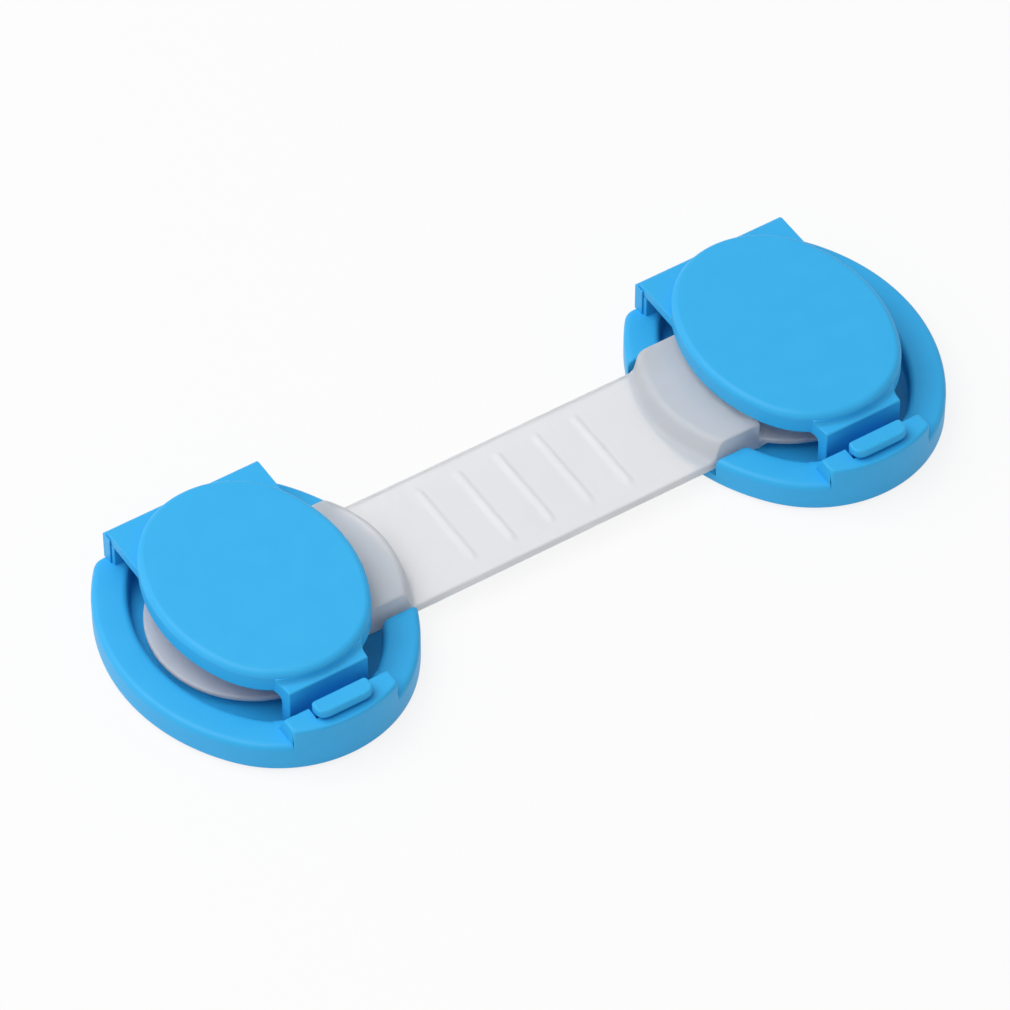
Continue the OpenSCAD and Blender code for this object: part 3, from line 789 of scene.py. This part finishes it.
# %% Strap ends and the whole strap
def strap_end(start, y):
    """One end as rings round its hole, which meet the web's first cross-section, and the flange's side
    wall. The flange's edge is thinner and softer, and fades to the web's thickness beside it."""
    mouth = np.degrees(np.arctan2(y, start))
    flange = np.linspace(mouth[-1], 360 + mouth[0], 121)[1:-1]
    way = turn(np.concatenate([mouth, flange]))
    reach = np.concatenate([np.hypot(start, y), np.full(len(flange), FLANGE_R)])
    from_web = np.minimum(flange - mouth[-1], 360 + mouth[0] - flange)
    fade = np.concatenate([0 * y, np.clip(from_web / FLANGE_FADE, 0, 1)])
    low, soft = STRAP_Z + FLANGE_LIFT * fade, FLANGE_SOFT * fade

    def ring(radius, z):
        return np.concatenate([radius[:, None] * way, np.broadcast_to(z, len(way))[:, None]], 1)
    steps = np.linspace(0, 1, 5)[:, None, None]
    hole = np.full(len(way), HOLE_R)
    under = ring(reach - soft, low) * (1 - steps) + ring(hole + HOLE_SOFT, STRAP_Z) * steps
    over = ring(hole + HOLE_SOFT, FLANGE_Z) * (1 - steps) + ring(reach - soft, FLANGE_Z) * steps
    bore = [ring(hole, STRAP_Z + HOLE_SOFT), ring(hole, FLANGE_Z - HOLE_SOFT)]
    patch = loft(np.concatenate([under, bore, over]), caps=(False, False))
    c = np.radians(np.linspace(0, 90, 5))
    wall = [ring(reach - soft * (1 - np.sin(t)), FLANGE_Z - soft * (1 - np.cos(t))) for t in c]
    wall += [ring(reach - soft * (1 - np.cos(t)), low + soft * (1 - np.sin(t))) for t in c]
    return [patch, sheet(np.array(wall)[:, np.r_[len(y) - 1:len(way), 0]])]


def strap_moulding():
    """Web between the ends, one end, and the same end mirrored to the other side."""
    y, fall = strap_rows()
    start = np.sqrt(FLANGE_R ** 2 - STRAP_HY ** 2)
    near = strap_end(start, y)
    far = [(points * [-1, 1, 1] + [STRAP_L, 0, 0], faces) for points, faces in near]
    return [strap_web(start, y, fall)] + near + far


strap = piece("strap", strap_moulding(), milky)
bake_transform(strap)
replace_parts(strap, "strap_left_half", "strap_right_half")

# %% [markdown]
# ## Camera
# The camera has the photograph's viewpoint. It could be placed by eye, but then nothing could be
# compared point by point. Its angle, distance and lens were worked out from the two base outlines and
# the strap.

# %% Camera
AZIMUTH, ELEVATION = -32.58, 48.24
DISTANCE, PIXELS_PER_MM, FRAME_PIXELS = 976.0, 6.9616, 1010
PAN_RIGHT, PAN_UP = 2.741, 0.341
SENSOR, CLIP_END = 36.0, 10

(ca, sa), (ce, se) = turn(AZIMUTH), turn(ELEVATION)
RIGHT = np.array([ca, sa, 0])
UP = np.array([-sa * se, ca * se, ce])
AHEAD = np.array([-sa * ce, ca * ce, -se])
EYE = -PAN_RIGHT * RIGHT - PAN_UP * UP - DISTANCE * AHEAD + [0, LOCK_Y, BASE_Z]

scene = bpy.context.scene
scene.view_settings.view_transform = "Standard"
lens = bpy.data.cameras.new("camera")
lens.sensor_width = SENSOR
lens.lens = SENSOR * PIXELS_PER_MM * DISTANCE / FRAME_PIXELS
lens.clip_end = CLIP_END
camera = bpy.data.objects.new("camera", lens)
stand = np.eye(4)
stand[:3, :3] = np.stack([RIGHT, UP, -AHEAD], -1)
stand[:3, 3] = EYE * MM
camera.matrix_world = Matrix(stand.tolist())
bpy.context.collection.objects.link(camera)
scene.camera = camera
print("camera at", np.round(EYE), "mm, lens", round(lens.lens, 1), "mm")

# %% [markdown]
# ## Floor and light
# The lock lies on a pale floor under soft studio light. More light would make the floor white, but
# would also bleach the strap. Instead the floor's material tells by the Light Path node when the
# camera, a reflection or a clear surface looks at it, and shows nearly white there. It still keeps the
# shadow, and the lamp stays at a plain level.

# %% Floor
FLOOR = 2.0
FLOOR_GREYS = [(0.88, 0.88, 0.88), (0.9, 0.9, 0.9)]
FLOOR_WHITE = 0.85
floor_mesh = bpy.data.meshes.new("floor")
floor_mesh.from_pydata(
    [(-FLOOR, -FLOOR, 0), (FLOOR, -FLOOR, 0), (FLOOR, FLOOR, 0), (-FLOOR, FLOOR, 0)],
    [], [(0, 1, 2, 3)])
floor = bpy.data.objects.new("floor", floor_mesh)
bpy.context.collection.objects.link(floor)
pale, shader = new_material("pale_floor", 0.8, 3, FLOOR_GREYS, 0)
floor_mesh.materials.append(pale)

nodes, links = pale.node_tree.nodes, pale.node_tree.links
path, white, mix = (nodes.new(f"ShaderNode{kind}") for kind in ("LightPath", "Emission", "MixShader"))
either, any_ray, share = (nodes.new("ShaderNodeMath") for _ in range(3))
either.operation, any_ray.operation, share.operation = "MAXIMUM", "MAXIMUM", "MULTIPLY"
share.inputs[1].default_value = FLOOR_WHITE
links.new(path.outputs["Is Camera Ray"], either.inputs[0])
links.new(path.outputs["Is Glossy Ray"], either.inputs[1])
links.new(either.outputs[0], any_ray.inputs[0])
links.new(path.outputs["Is Transmission Ray"], any_ray.inputs[1])
links.new(any_ray.outputs[0], share.inputs[0])
links.new(share.outputs[0], mix.inputs["Fac"])
links.new(shader.outputs[0], mix.inputs[1])
links.new(white.outputs[0], mix.inputs[2])
links.new(mix.outputs[0], nodes["Material Output"].inputs["Surface"])
print("floor", 2 * FLOOR, "m wide")

# %% World and lamp
WORLD_STRENGTH, LAMP_WATTS, LAMP_SIZE = 0.45, 8, 1.0
LAMP_PLACE = (-0.45, 0.25, 0.9)

world = bpy.data.worlds.new("studio")
world.use_nodes = True
world.node_tree.nodes["Background"].inputs["Color"].default_value = (1, 1, 1, 1)
world.node_tree.nodes["Background"].inputs["Strength"].default_value = WORLD_STRENGTH
scene.world = world
lamp = bpy.data.lights.new("top_softbox", "AREA")
lamp.energy = LAMP_WATTS
lamp.size = LAMP_SIZE
softbox = bpy.data.objects.new("top_softbox", lamp)
softbox.location = LAMP_PLACE
softbox.rotation_euler = (-softbox.location).to_track_quat("-Z", "Y").to_euler()
bpy.context.collection.objects.link(softbox)
print("lamp", lamp.energy, "W")
